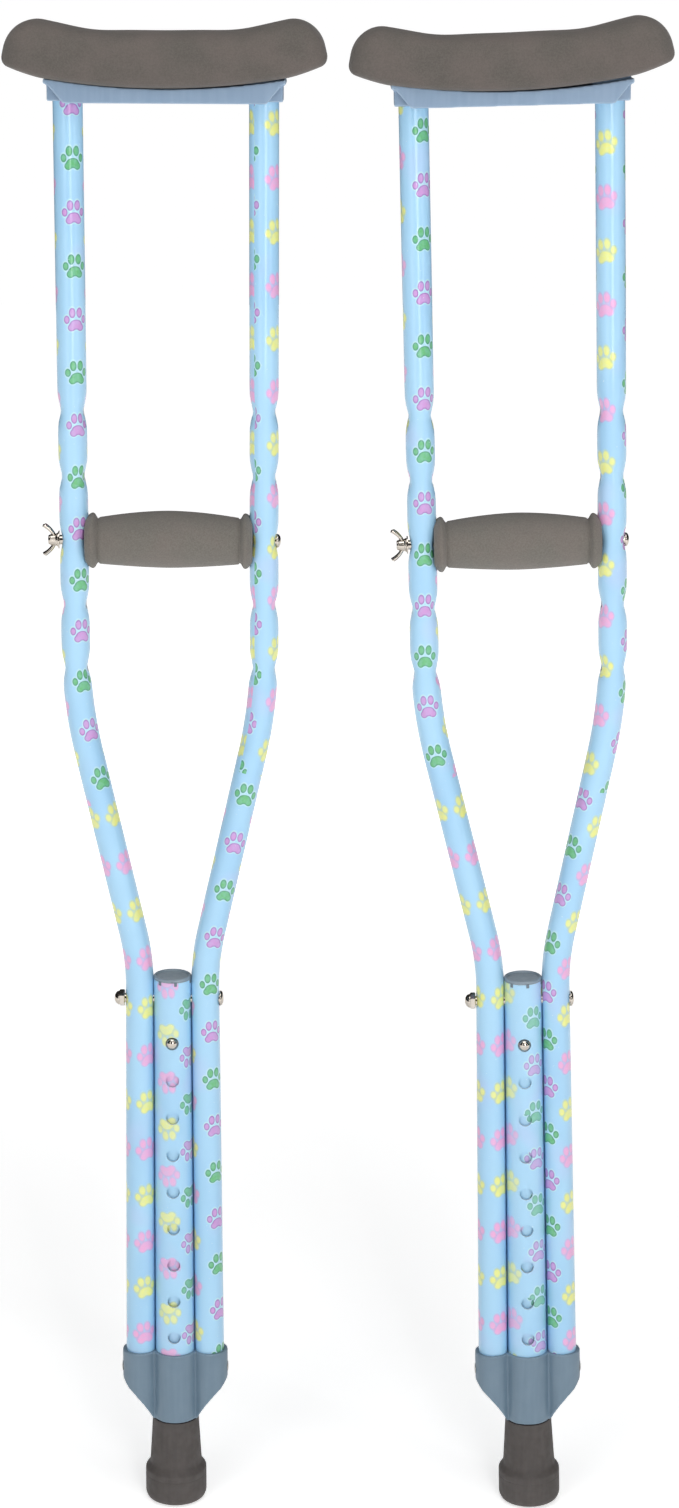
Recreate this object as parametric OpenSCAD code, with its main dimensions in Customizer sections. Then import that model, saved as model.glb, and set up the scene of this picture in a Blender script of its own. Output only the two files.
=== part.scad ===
// A pair of youth-size underarm crutches, each an aluminium bow with a telescoping leg.
// Millimetres, +Z up. The origin is the centre of the left crutch's tip, on the floor.
// -Y is the front, where the snap buttons are. The right crutch leans a little to the left.

/* [Pair] */
// Distance between the two tips
pair_spacing = 235.2; // [225:0.2:260]
// Lean of the right crutch towards the left one, degrees
right_lean = 1.85; // [0:0.05:2]

/* [Tubes] */
// Outer radius of a bow tube
bow_r = 9; // [8.5:0.1:9]
// Wall of a bow tube
bow_wall = 1.4; // [1:0.1:1.6]
// Outer radius of the centre tube
centre_r = 12; // [11.5:0.1:12]
// Wall of the centre tube
centre_wall = 1.5; // [1.4:0.05:1.6]
// Half of the distance between the bow tubes at the handgrip
bow_half = 58.3; // [56:0.1:60]
// Height of the upper bend's corner
upper_bend_z = 543; // [541:1:544]
// Height of the lower bend's corner
lower_bend_z = 375; // [373:1:378]
// Gap between the bow tubes and the centre tube at the cross bolt
bundle_gap = 0.35; // [0.3:0.05:0.6]

/* [Adjustment] */
// Pitch of the leg's height holes
leg_pitch = 25.4; // [25:0.1:25.4]
// Number of height holes
leg_holes = 9; // [5:1:9]
// Height of the lowest hole
first_hole_z = 118.4; // [117:0.2:119]
// Pitch of the handgrip holes
grip_pitch = 40; // [38:1:40]
// Height of the handgrip, in its middle hole
grip_z = 645.5; // [645:0.5:650]

/* [Bracket and tip] */
// Height of the Y bracket's lower end, which meets the rubber tip
bracket_z = 58.2; // [58:0.1:59]
// Height of the Y bracket's rim
bracket_top_z = 106; // [104:1:108]
// Radius of the rubber tip's base ring
tip_r = 20.2; // [19:0.1:22]

/* [Underarm pad] */
// Length of the pad
pad_length = 192.6; // [190:0.2:196]
// Depth of the pad, front to back
pad_depth = 46; // [44:1:50]
// Thickness of the pad
pad_height = 33.5; // [32:0.5:36]

/* [Hidden] */
$fn = 48;
eps = 0.02;          // clearance of parts that are pressed or riveted together
cut = 1;             // how far a cutting shape runs past what it cuts
tube_blue = [0.66, 0.84, 0.95];
saddle_grey = [0.53, 0.63, 0.72];
bracket_grey = [0.46, 0.56, 0.63];
cap_grey = [0.42, 0.48, 0.53];
nylon_white = [0.88, 0.88, 0.86];
core_black = [0.12, 0.12, 0.12];
foam_grey = [0.42, 0.40, 0.38];
rubber_grey = [0.35, 0.33, 0.32];

// The bow tube's centre line: foot, lower bend, upper bend and top, as [x, z]
cross_z = 348.5;
foot_z = 86;
top_z = 935;
bundle_half = centre_r + bow_r + bundle_gap;
splay = 0.0065;
lower_bend_r = 160;
upper_bend_r = 120;
foot = [bundle_half + splay * (cross_z - foot_z), foot_z];
lower_bend = [bundle_half + splay * (cross_z - lower_bend_z), lower_bend_z];
upper_bend = [bow_half, upper_bend_z];
top = [bow_half, top_z];
foot_heading = heading(foot, lower_bend);
slant_heading = heading(lower_bend, upper_bend);
lower_run = lower_bend_r * tan((foot_heading - slant_heading) / 2);
upper_run = upper_bend_r * tan((90 - slant_heading) / 2);

// Handgrip holes
bolt_r = 3;
bolt_hole_r = 3.3;
washer_thick = 0.8;
grip_steps = [-2:2];
dimple_r = 16;
dimple_depth = 1.6;
seat_x = bow_half + bow_r + eps;     // where the washer and the bolt's head bear on the tubes
cross_face_x = bundle_half + bow_r + 6 * splay + eps;    // where the cross bolt's head and nut bear

// Leg, glide and snap button
leg_r = 10.3;
leg_wall = 1.5;
leg_bottom_z = 13.6;
leg_top_z = 338;
button_z = first_hole_z + leg_pitch * (leg_holes - 1);
button_r = 3.9;
button_hole_r = 4.2;
running = 0.05;      // radial clearance of the sliding leg
centre_bottom_z = 66;
centre_top_z = 362;

// Y bracket
ring_r = 14.8;
socket_wall = 2.5;
socket_x = bundle_half + splay * (cross_z - 95);
shoulder_z = 86;
rivet_z = 93;
rivet_r = 2;

// The rubber tip's rounded edge, and how far the right crutch is lifted to lean on it
tip_edge = 4.5;
right_lift = (tip_r - tip_edge) * sin(right_lean) + tip_edge * (1 - cos(right_lean));

// Saddle and pad: both follow one arc whose centre is above the crutch
arc_r = 440;
arc_z = 918.6 + arc_r;
plate_gap = 0.3;
plate_thick = 3;
apron_y = 15;
apron_thick = 2;
apron_bottom_z = 909.9;
apron_half_bottom = 60.1;
apron_half_top = 71.9;
boss_out = 70;
boss_in = 47.3;
boss_half_y = 11.5;
boss_bottom_z = 911;
boss_top_z = 937.5;
pin_z = 928;
pin_r = 1.5;

// Heading of the line from a to b, in degrees from +X
function heading(a, b) = atan2(b[1] - a[1], b[0] - a[0]);
function along(p, h, d) = [p[0] + d * cos(h), p[1] + d * sin(h)];

// Puts one crutch's part where it stands: side 0 is the left crutch, side 1 the right one
module stand(side) {
    if (side == 0) children();
    else translate([pair_spacing, 0, right_lift]) rotate([0, -right_lean, 0]) children();
}

// A cylinder along +X from x0 to x1
module x_rod(x0, x1, r) {
    translate([x0, 0, 0]) rotate([0, 90, 0]) cylinder(h = x1 - x0, r = r);
}

// A shallow dome on a round head, turned about +X, standing on x = 0
module domed_head(head_r, height) {
    dome_r = (head_r * head_r + height * height) / (2 * height) + 0.4;
    rotate([0, 90, 0]) rotate_extrude() intersection() {
        square([head_r, height]);
        translate([0, height - dome_r]) circle(r = dome_r);
    }
}

// A cylinder along -Y from y0 out to the front at y1
module front_rod(y0, y1, r) {
    translate([0, y0, 0]) rotate([90, 0, 0]) cylinder(h = y0 - y1, r = r);
}

// A shape drawn in X and Z, centred on y = 0
module front_plate(depth) {
    rotate([90, 0, 0]) linear_extrude(height = depth, center = true) children();
}

// A hollow straight length in the X-Z plane from a to b
module straight_run(a, b) {
    length = norm(b - a);
    translate([a[0], 0, a[1]]) rotate([0, 90 - heading(a, b), 0]) difference() {
        cylinder(h = length, r = bow_r);
        translate([0, 0, -cut]) cylinder(h = length + 2 * cut, r = bow_r - bow_wall);
    }
}

// A hollow arc of the centre line in the X-Z plane, about c, from polar angle a0 to a1
module arc_run(c, bend_r, a0, a1) {
    translate([c[0], 0, c[1]]) rotate([90, 0, 0]) rotate([0, 0, a0])
        rotate_extrude(angle = a1 - a0) translate([bend_r, 0]) difference() {
            circle(r = bow_r);
            circle(r = bow_r - bow_wall);
        }
}

// The upright length above z0, with its dimples pressed into the wall
module dimpled_run(z0) {
    length = top_z - z0;
    difference() {
        translate([bow_half, 0, z0]) cylinder(h = length, r = bow_r);
        dimples(0);
        difference() {
            translate([bow_half, 0, z0 - cut]) cylinder(h = length + 2 * cut, r = bow_r - bow_wall);
            dimples(bow_wall);
        }
    }
}

// A thin weld ring round a joint between two lengths, at p along heading h
module weld_ring(p, h) {
    proud = 0.15;
    translate([p[0], 0, p[1]]) rotate([0, 90 - h, 0]) difference() {
        cylinder(h = 1, r = bow_r + proud, center = true);
        cylinder(h = 1 + cut, r = bow_r - bow_wall - proud, center = true);
    }
}

// The round dimples on both sides of the bow tube at each handgrip hole
module dimples(grow) {
    for (step = grip_steps, side = [-1, 1])
        translate([bow_half + side * (bow_r + dimple_r - dimple_depth), 0, grip_z + step * grip_pitch])
            sphere(r = dimple_r + grow);
}

// The tube that follows a bow's centre line, on the +X side
module bow_run() {
    low_in = along(lower_bend, foot_heading, -lower_run);
    low_out = along(lower_bend, slant_heading, lower_run);
    up_in = along(upper_bend, slant_heading, -upper_run);
    up_out = along(upper_bend, 90, upper_run);
    straight_run(foot, low_in);
    arc_run(along(low_in, foot_heading - 90, lower_bend_r), lower_bend_r,
            slant_heading + 90, foot_heading + 90);
    straight_run(low_out, up_in);
    arc_run(along(up_in, slant_heading + 90, upper_bend_r), upper_bend_r, slant_heading - 90, 0);
    dimpled_run(up_out[1]);
    weld_ring(low_in, foot_heading);
    weld_ring(low_out, slant_heading);
    weld_ring(up_in, slant_heading);
    weld_ring(up_out, 90);
}

// One bow tube on the +X side: bent, dimpled, and drilled for the grip bolt, cross bolt, rivet and pin
module bow_tube() {
    color(tube_blue) difference() {
        bow_run();
        for (step = grip_steps) translate([0, 0, grip_z + step * grip_pitch])
            x_rod(bow_half - bow_r - cut, bow_half + bow_r + cut, bolt_hole_r);
        translate([0, 0, cross_z]) x_rod(0, bundle_half + bow_r + cut, bolt_r + running);
        translate([0, 0, rivet_z]) x_rod(socket_x, socket_x + bow_r + cut, rivet_r + eps);
        translate([bow_half, bow_r + cut, pin_z]) front_rod(0, -2 * (bow_r + cut), pin_r + eps);
    }
}

module centre_tube() {
    color(tube_blue) difference() {
        translate([0, 0, centre_bottom_z]) cylinder(h = centre_top_z - centre_bottom_z, r = centre_r);
        translate([0, 0, centre_bottom_z - cut])
            cylinder(h = centre_top_z - centre_bottom_z + 2 * cut, r = centre_r - centre_wall);
        for (i = [0:leg_holes - 1]) translate([0, 0, first_hole_z + i * leg_pitch])
            front_rod(-leg_r / 2, -centre_r - cut, button_hole_r);
        translate([0, 0, cross_z]) x_rod(-centre_r - cut, centre_r + cut, bolt_r + running);
    }
}

// Plastic cap: a shallow disc on the tube's end, with a plug inside it
module centre_tube_cap() {
    cap_thick = 1.2;
    dome_r = 50;
    color(cap_grey) union() {
        translate([0, 0, centre_top_z + eps]) intersection() {
            cylinder(h = 3 * cap_thick, r = centre_r);
            translate([0, 0, 2 * cap_thick - dome_r]) sphere(r = dome_r);
        }
        translate([0, 0, centre_top_z - 6]) difference() {
            cylinder(h = 6 + 2 * eps, r = centre_r - centre_wall - eps);
            translate([0, 0, -cut]) cylinder(h = 6, r = centre_r - centre_wall - 2);
        }
    }
}

// Plan outline of the Y bracket: a round centre with a round socket on each side
module bracket_plan() {
    circle(r = ring_r);
    for (side = [-1, 1]) translate([side * socket_x, 0]) circle(r = bow_r + socket_wall);
}

// Front outline: upright sides, then a hollow curve in to the round lower end
module bracket_front() {
    side_x = socket_x + bow_r + socket_wall;
    waist_r = 59;
    difference() {
        polygon([[-ring_r, bracket_z], [ring_r, bracket_z], [side_x - 2.4, shoulder_z - 3],
                 [side_x, shoulder_z], [side_x, bracket_top_z], [-side_x, bracket_top_z],
                 [-side_x, shoulder_z], [2.4 - side_x, shoulder_z - 3]]);
        for (side = [-1, 1])
            translate([side * (22.6 + waist_r * cos(37.8)), 72.3 - waist_r * sin(37.8)]) circle(r = waist_r, $fn = 96);
    }
}

// Moulded bracket that joins the three tubes and guides the leg
module y_bracket() {
    seat_z = bracket_z + 2;
    color(bracket_grey) difference() {
        intersection() {
            translate([0, 0, bracket_z]) linear_extrude(height = bracket_top_z - bracket_z) bracket_plan();
            front_plate(4 * ring_r) bracket_front();
        }
        translate([0, 0, seat_z]) cylinder(h = bracket_top_z - seat_z + cut, r = centre_r + eps);
        translate([0, 0, bracket_z - cut]) cylinder(h = 2 * cut + 2, r = leg_r + 0.3);
        for (side = [-1, 1]) mirror([side < 0 ? 1 : 0, 0, 0]) {
            translate([foot[0], 0, foot[1] - eps]) rotate([0, 90 - foot_heading, 0])
                cylinder(h = lower_bend_z - foot_z, r = bow_r + eps);
            translate([0, 0, rivet_z]) x_rod(socket_x, socket_x + 2 * bow_r, rivet_r + eps);
        }
    }
}

// Blind rivets through the bracket's side sockets into the bow tubes
module bracket_rivets() {
    out_x = socket_x + bow_r + socket_wall + eps;
    in_x = out_x - socket_wall - bow_wall - 2 * eps;
    color([0.85, 0.85, 0.84]) for (side = [-1, 1]) mirror([side < 0 ? 1 : 0, 0, 0]) translate([0, 0, rivet_z]) {
        translate([out_x, 0, 0]) domed_head(3.4, 1.3);
        x_rod(in_x - 1.2, out_x, rivet_r);
        x_rod(in_x - 2.8, in_x - 1, rivet_r + 0.8);
    }
}

// Plastic bush that the leg runs in, under the centre tube's lower end
module leg_bushing() {
    color(nylon_white) difference() {
        translate([0, 0, bracket_z + 2 + eps])
            cylinder(h = centre_bottom_z - bracket_z - 2 - 2 * eps, r = centre_r - eps);
        translate([0, 0, bracket_z]) cylinder(h = 12, r = leg_r + running);
    }
}

// Bolt with a domed head on the +X side, which ties the three tubes together
module cross_bolt() {
    color("silver") translate([0, 0, cross_z]) union() {
        x_rod(-cross_face_x - 5, cross_face_x, bolt_r);
        translate([cross_face_x, 0, 0]) domed_head(5, 2.6);
    }
}

// Acorn nut: a hexagon with a domed, closed end
module cross_nut() {
    color("silver") translate([-cross_face_x, 0, cross_z]) rotate([0, -90, 0]) difference() {
        union() {
            cylinder(h = 3.4, r = 5.6, $fn = 6);
            translate([0, 0, 3.2]) intersection() {
                cylinder(h = 4, r = 4.6);
                translate([0, 0, -1.1]) sphere(r = 4.75);
            }
        }
        translate([0, 0, -cut]) cylinder(h = 5.4 + cut, r = bolt_r + eps);
    }
}

// The front and back aprons of the saddle, with slanting ends, under the pad's arc
module apron_outline() {
    difference() {
        polygon([[-apron_half_bottom, apron_bottom_z], [apron_half_bottom, apron_bottom_z],
                 [apron_half_top, 924], [apron_half_top, 926], [-apron_half_top, 926],
                 [-apron_half_top, 924]]);
        translate([0, arc_z]) circle(r = arc_r + plate_gap, $fn = 180);
    }
}

// Moulded saddle: a curved plate with two aprons, cross ribs and a socket boss on each bow tube
module saddle_bracket() {
    plate_half = asin((apron_half_top - 0.5) / arc_r);
    depth = 2 * (apron_y + apron_thick);
    color(saddle_grey) difference() {
        union() {
            translate([0, 0, arc_z]) rotate([90, 0, 0]) rotate([0, 0, 270 - plate_half])
                rotate_extrude(angle = 2 * plate_half, $fn = 180)
                    translate([arc_r + plate_gap, -depth / 2]) square([plate_thick, depth]);
            for (side = [-1, 1]) translate([0, side * (apron_y + apron_thick / 2), 0])
                front_plate(apron_thick) apron_outline();
            for (x = [-24, 0, 24]) translate([x - 1, -apron_y - cut, apron_bottom_z + 1])
                cube([2, 2 * (apron_y + cut), 7]);
            for (side = [-1, 1]) translate([side * (boss_in + boss_out) / 2, 0, 0])
                translate([-(boss_out - boss_in) / 2, -boss_half_y, boss_bottom_z])
                    cube([boss_out - boss_in, 2 * boss_half_y, boss_top_z - boss_bottom_z]);
        }
        for (side = [-1, 1]) translate([side * bow_half, 0, 0]) {
            translate([0, 0, boss_bottom_z - cut])
                cylinder(h = top_z + eps - boss_bottom_z + cut, r = bow_r + eps);
            translate([0, boss_half_y + cut, pin_z]) front_rod(0, -2 * (boss_half_y + cut), pin_r + eps);
        }
    }
}

// Steel pins through the bosses and the tube tops, under the pad
module saddle_pins() {
    color("gray") for (side = [-1, 1]) translate([side * bow_half, boss_half_y, pin_z])
        front_rod(0, -2 * boss_half_y, pin_r);
}

// Half of the pad's section, rounded at its outer corners: r across, y along
module pad_section() {
    corner = 10;
    translate([arc_r - pad_height, -pad_depth / 2 + corner]) square([pad_height, pad_depth - 2 * corner]);
    translate([arc_r - pad_height + corner, -pad_depth / 2])
        square([pad_height - 1.6 * corner, pad_depth]);
    for (side = [-1, 1]) {
        translate([arc_r - pad_height + corner, side * (pad_depth / 2 - corner)]) circle(r = corner);
        translate([arc_r - 0.6 * corner, side * (pad_depth / 2 - 0.6 * corner)]) circle(r = 0.6 * corner);
        translate([arc_r - 0.6 * corner - eps, side * (pad_depth / 2 - 0.8 * corner) - 0.2 * corner])
            square([0.6 * corner + eps, 0.4 * corner]);
    }
}

// Foam pad: follows the saddle's arc, with round ends and pockets for the bosses
module underarm_pad() {
    end_r = pad_height / 2;
    end_x = pad_length / 2 - end_r;
    end_angle = asin(end_x / (arc_r - end_r));
    end_z = arc_z - (arc_r - end_r) * cos(end_angle);
    color(foam_grey) difference() {
        union() {
            translate([0, 0, arc_z]) rotate([90, 0, 0]) rotate([0, 0, 270 - end_angle])
                rotate_extrude(angle = 2 * end_angle, $fn = 180) pad_section();
            for (side = [-1, 1]) translate([side * end_x, pad_depth / 2 - 6, end_z])
                front_rod(0, 12 - pad_depth, end_r);
        }
        for (side = [-1, 1])
            translate([side * (boss_in + boss_out) / 2, 0, 0])
                translate([-(boss_out - boss_in) / 2 - 0.4, -boss_half_y - 0.4, boss_bottom_z])
                    cube([boss_out - boss_in + 0.8, 2 * boss_half_y + 0.8, boss_top_z - boss_bottom_z + 0.4]);
    }
}

module leg_tube() {
    color(tube_blue) difference() {
        translate([0, 0, leg_bottom_z]) cylinder(h = leg_top_z - leg_bottom_z, r = leg_r);
        translate([0, 0, leg_bottom_z - cut])
            cylinder(h = leg_top_z - leg_bottom_z + 2 * cut, r = leg_r - leg_wall);
        translate([0, 0, button_z]) front_rod(-leg_r / 2, -leg_r - cut, button_r + 0.1);
    }
}

// Plastic collar on the leg's upper end, which runs in the centre tube
module leg_glide() {
    color(nylon_white) difference() {
        union() {
            translate([0, 0, leg_top_z + eps]) cylinder(h = 4.5, r = centre_r - centre_wall - running);
            translate([0, 0, leg_top_z - 6]) cylinder(h = 6 + 2 * eps, r = leg_r - leg_wall - eps);
        }
        translate([0, 0, leg_top_z - 6 - cut]) cylinder(h = 14, r = 6.5);
    }
}

// Steel strip bent into a U: its front arm carries the button, its back arm bears on the tube
module snap_spring() {
    strip = 0.6;
    front_y = -6;
    back_y = 8.2;
    mid_y = (front_y + back_y) / 2;
    turn_r = (back_y - front_y) / 2;
    turn_z = button_z - 34;
    color("silver") rotate([90, 0, 90]) linear_extrude(height = 6, center = true) {
        translate([front_y, turn_z]) square([strip, button_z + 6 - turn_z]);
        translate([back_y - strip, turn_z]) square([strip, 36]);
        translate([mid_y, turn_z]) difference() {
            circle(r = turn_r);
            circle(r = turn_r - strip);
            translate([-turn_r - cut, 0]) square([2 * (turn_r + cut), turn_r + cut]);
        }
    }
}

// Domed button with a flange behind the leg's wall
module snap_button() {
    color("silver") translate([0, 0, button_z]) union() {
        front_rod(-6 - eps, -7.3, 4.7);
        intersection() {
            front_rod(-7.2, -centre_r - 3, button_r);
            translate([0, -centre_r + 1.9, 0]) sphere(r = 4.5);
        }
        front_rod(-7.2, -centre_r + 0.4, button_r);
    }
}

// Rubber tip: a tapered neck on a wider ring with a rounded lower edge
module rubber_tip() {
    ring_z = 21.7;
    neck_top_z = bracket_z - 0.4;
    edge = tip_edge;
    color(rubber_grey) rotate_extrude() difference() {
        union() {
            polygon([[0, edge], [tip_r, edge], [tip_r, ring_z], [17.1, ring_z + 4],
                     [15.2, neck_top_z], [0, neck_top_z]]);
            square([tip_r - edge, 2 * edge]);
            translate([tip_r - edge, edge]) intersection() {
                circle(r = edge);
                translate([0, -edge]) square([edge, edge + eps]);
            }
        }
        translate([-cut, leg_bottom_z - 1.6]) square([leg_r + eps + cut, bracket_z]);
    }
}

module tip_washer() {
    color("silver") translate([0, 0, leg_bottom_z - 1.58]) difference() {
        cylinder(h = 1.56, r = leg_r - 0.1);
        translate([0, 0, -cut]) cylinder(h = 4, r = 3.5);
    }
}

// Foam sleeve: a barrel with a bead at each end, hollowed where the bow tubes stand
module handgrip_sleeve() {
    half = 51.5;
    bead_r = 17.2;
    waist_r = 14.4;
    core_r = 8 + eps;
    color(foam_grey) translate([0, 0, grip_z]) difference() {
        rotate([0, 90, 0]) rotate_extrude() polygon([
            [core_r, -half], [bead_r - 2, -half], [bead_r, 2 - half], [bead_r, 6 - half],
            [waist_r, 8.5 - half], [15.9, -28], [17, -14], [17.6, 0], [17, 14], [15.9, 28],
            [waist_r, half - 8.5], [bead_r, half - 6], [bead_r, half - 2], [bead_r - 2, half],
            [core_r, half]]);
        for (side = [-1, 1]) translate([side * bow_half, 0, -2 * bead_r]) cylinder(h = 4 * bead_r, r = bow_r + 1.3);
    }
}

// Rigid core tube that the bolt passes through
module handgrip_core() {
    half = bow_half - bow_r - 0.4;
    color(core_black) translate([0, 0, grip_z]) difference() {
        x_rod(-half, half, 8);
        x_rod(-half - cut, half + cut, bolt_r + 0.1);
    }
}

// Through bolt with its domed head on the +X side
module grip_bolt() {
    color("silver") translate([0, 0, grip_z]) union() {
        x_rod(-seat_x - 7, seat_x, bolt_r);
        translate([seat_x, 0, 0]) domed_head(4.9, 2.8);
    }
}

module grip_washer() {
    color("silver") translate([-seat_x, 0, grip_z]) difference() {
        x_rod(-washer_thick, 0, 5.6);
        x_rod(-washer_thick - cut, cut, bolt_r + 0.1);
    }
}

// Wing nut: a tapered hub with two ears that stand out and away from the tube
module wing_nut() {
    base_x = seat_x + washer_thick + eps;
    ear_angle = 42;
    color("silver") translate([-base_x, 0, grip_z]) difference() {
        union() {
            rotate([0, -90, 0]) cylinder(h = 5.5, r1 = 5, r2 = 3.9);
            for (side = [0, 1]) mirror([0, 0, side]) front_plate(1.9) {
                translate([-1.8, 1.5]) rotate([0, 0, 180 - ear_angle]) translate([0, -1.7]) square([8.8, 3.4]);
                translate([-1.8 - 8.8 * cos(ear_angle), 1.5 + 8.8 * sin(ear_angle)]) circle(r = 1.7);
            }
        }
        x_rod(-7, cut, bolt_r + eps);
    }
}

// The bow tube on the wing nut's side is the other one's mirror image
module bow_pair(side, nut_side) {
    stand(side) mirror([nut_side ? 1 : 0, 0, 0]) bow_tube();
}

bow_pair(0, true);  // left_bow_tube_nut_side
bow_pair(0, false);  // left_bow_tube_head_side
stand(0) centre_tube();  // left_centre_tube
stand(0) centre_tube_cap();  // left_centre_tube_cap
stand(0) y_bracket();  // left_y_bracket
stand(0) bracket_rivets();  // left_bracket_rivets
stand(0) leg_bushing();  // left_leg_bushing
stand(0) cross_bolt();  // left_cross_bolt
stand(0) cross_nut();  // left_cross_nut
stand(0) saddle_bracket();  // left_saddle_bracket
stand(0) saddle_pins();  // left_saddle_pins
stand(0) underarm_pad();  // left_underarm_pad
stand(0) leg_tube();  // left_leg_tube
stand(0) leg_glide();  // left_leg_glide
stand(0) snap_spring();  // left_snap_spring
stand(0) snap_button();  // left_snap_button
stand(0) rubber_tip();  // left_rubber_tip
stand(0) tip_washer();  // left_tip_washer
stand(0) handgrip_sleeve();  // left_handgrip_sleeve
stand(0) handgrip_core();  // left_handgrip_core
stand(0) grip_bolt();  // left_grip_bolt
stand(0) grip_washer();  // left_grip_washer
stand(0) wing_nut();  // left_wing_nut
bow_pair(1, true);  // right_bow_tube_nut_side
bow_pair(1, false);  // right_bow_tube_head_side
stand(1) centre_tube();  // right_centre_tube
stand(1) centre_tube_cap();  // right_centre_tube_cap
stand(1) y_bracket();  // right_y_bracket
stand(1) bracket_rivets();  // right_bracket_rivets
stand(1) leg_bushing();  // right_leg_bushing
stand(1) cross_bolt();  // right_cross_bolt
stand(1) cross_nut();  // right_cross_nut
stand(1) saddle_bracket();  // right_saddle_bracket
stand(1) saddle_pins();  // right_saddle_pins
stand(1) underarm_pad();  // right_underarm_pad
stand(1) leg_tube();  // right_leg_tube
stand(1) leg_glide();  // right_leg_glide
stand(1) snap_spring();  // right_snap_spring
stand(1) snap_button();  // right_snap_button
stand(1) rubber_tip();  // right_rubber_tip
stand(1) tip_washer();  // right_tip_washer
stand(1) handgrip_sleeve();  // right_handgrip_sleeve
stand(1) handgrip_core();  // right_handgrip_core
stand(1) grip_bolt();  // right_grip_bolt
stand(1) grip_washer();  // right_grip_washer
stand(1) wing_nut();  // right_wing_nut
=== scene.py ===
import math

import bmesh
import bpy
from mathutils import Matrix, Vector


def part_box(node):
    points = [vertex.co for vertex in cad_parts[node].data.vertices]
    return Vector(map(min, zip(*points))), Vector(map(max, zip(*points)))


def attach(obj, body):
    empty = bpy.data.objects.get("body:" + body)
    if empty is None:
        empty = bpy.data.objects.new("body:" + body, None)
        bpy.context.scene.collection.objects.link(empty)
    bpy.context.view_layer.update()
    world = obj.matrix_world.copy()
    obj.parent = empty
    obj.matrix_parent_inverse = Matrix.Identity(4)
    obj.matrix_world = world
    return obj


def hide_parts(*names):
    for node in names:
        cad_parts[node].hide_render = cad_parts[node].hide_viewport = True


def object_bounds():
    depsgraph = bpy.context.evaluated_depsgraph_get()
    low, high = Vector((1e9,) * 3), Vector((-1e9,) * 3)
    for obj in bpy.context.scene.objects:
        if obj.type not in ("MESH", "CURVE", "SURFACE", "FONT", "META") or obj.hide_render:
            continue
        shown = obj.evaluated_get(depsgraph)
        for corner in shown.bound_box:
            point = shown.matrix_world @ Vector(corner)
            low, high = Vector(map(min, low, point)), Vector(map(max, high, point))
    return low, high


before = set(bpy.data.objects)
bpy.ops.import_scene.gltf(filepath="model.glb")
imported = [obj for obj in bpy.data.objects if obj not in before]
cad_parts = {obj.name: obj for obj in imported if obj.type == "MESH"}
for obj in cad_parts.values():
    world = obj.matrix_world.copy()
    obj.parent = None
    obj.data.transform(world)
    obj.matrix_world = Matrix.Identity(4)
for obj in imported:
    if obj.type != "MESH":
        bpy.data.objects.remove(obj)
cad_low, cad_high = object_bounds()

MM = 1000.0
scene = bpy.context.scene


# ---------------------------------------------------------------- places read from the frame

def low(node):
    """Lowest corner of a CAD node's box, in millimetres."""
    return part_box(node)[0] * MM


def high(node):
    """Highest corner of a CAD node's box, in millimetres."""
    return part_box(node)[1] * MM


def middle(node):
    """Centre of a CAD node's box, in millimetres."""
    return (low(node) + high(node)) / 2


def right_place():
    """The move that takes the left crutch to the right one's place, from two round parts on its axis."""
    foot_left, foot_right = middle("left_tip_washer"), middle("right_tip_washer")
    rise = middle("right_handgrip_core") - foot_right
    lean = math.atan2(rise.x, rise.z)
    return Matrix.Translation(foot_right) @ Matrix.Rotation(lean, 4, "Y") @ Matrix.Translation(-foot_left)


SIDES = ("left", "right")
PLACES = {
    "left": Matrix.Scale(1 / MM, 4),
    "right": Matrix.Scale(1 / MM, 4) @ right_place(),
}

WELD_RING = 0.15                                  # how far the CAD tube's joint rings stand proud
CENTRE_R = high("left_centre_tube").x
BOW_R = high("left_bow_tube_head_side").y - WELD_RING
BOW_WALL = 1.4
LEG_R = high("left_leg_tube").y
TUBE_WALL = 1.5
GRIP_Z = middle("left_handgrip_core").z
CROSS_Z = middle("left_cross_bolt").z
BUTTON_Z = middle("left_snap_button").z
BOW_TOP_Z = high("left_bow_tube_head_side").z
BOW_FOOT_Z = low("left_bow_tube_head_side").z
BOW_HALF = high("left_bow_tube_head_side").x - BOW_R
BUNDLE_HALF = CENTRE_R + BOW_R                    # middle of a bow tube at the cross bolt
SPLAY = 0.0065                                    # slope of the bow tubes below the cross bolt
SWELL_LOW_Z = 106                                 # the three tubes swell a little, to touch, down to here
BOW_SWELL, CENTRE_SWELL = 0.067, 0.083
LOWER_BEND_Z = CROSS_Z + 26.5
UPPER_BEND_Z = GRIP_Z - 102.5
LOWER_BEND_R = 160
UPPER_BEND_R = 300
GRIP_PITCH = 40
GRIP_HOLES = [GRIP_Z + step * GRIP_PITCH for step in range(-2, 3)]
GRIP_HOLE_R = 3.3
LEG_PITCH = 25.4
LEG_HOLES = [BUTTON_Z - step * LEG_PITCH for step in range(9)]
LEG_HOLE_R = 4.2
BUTTON_HOLE_R = 4.0
STRAIGHT_STEPS = {"left_centre_tube": 75, "left_leg_tube": 60}
RIVET_Z = middle("left_bracket_rivets").z


# ---------------------------------------------------------------- shader helpers

def srgb(red, green, blue):
    """A colour given as 0 to 255 sRGB values, as Blender's linear RGBA."""
    def linear(value):
        share = value / 255
        return share / 12.92 if share <= 0.04045 else ((share + 0.055) / 1.055) ** 2.4
    return (linear(red), linear(green), linear(blue), 1.0)


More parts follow.
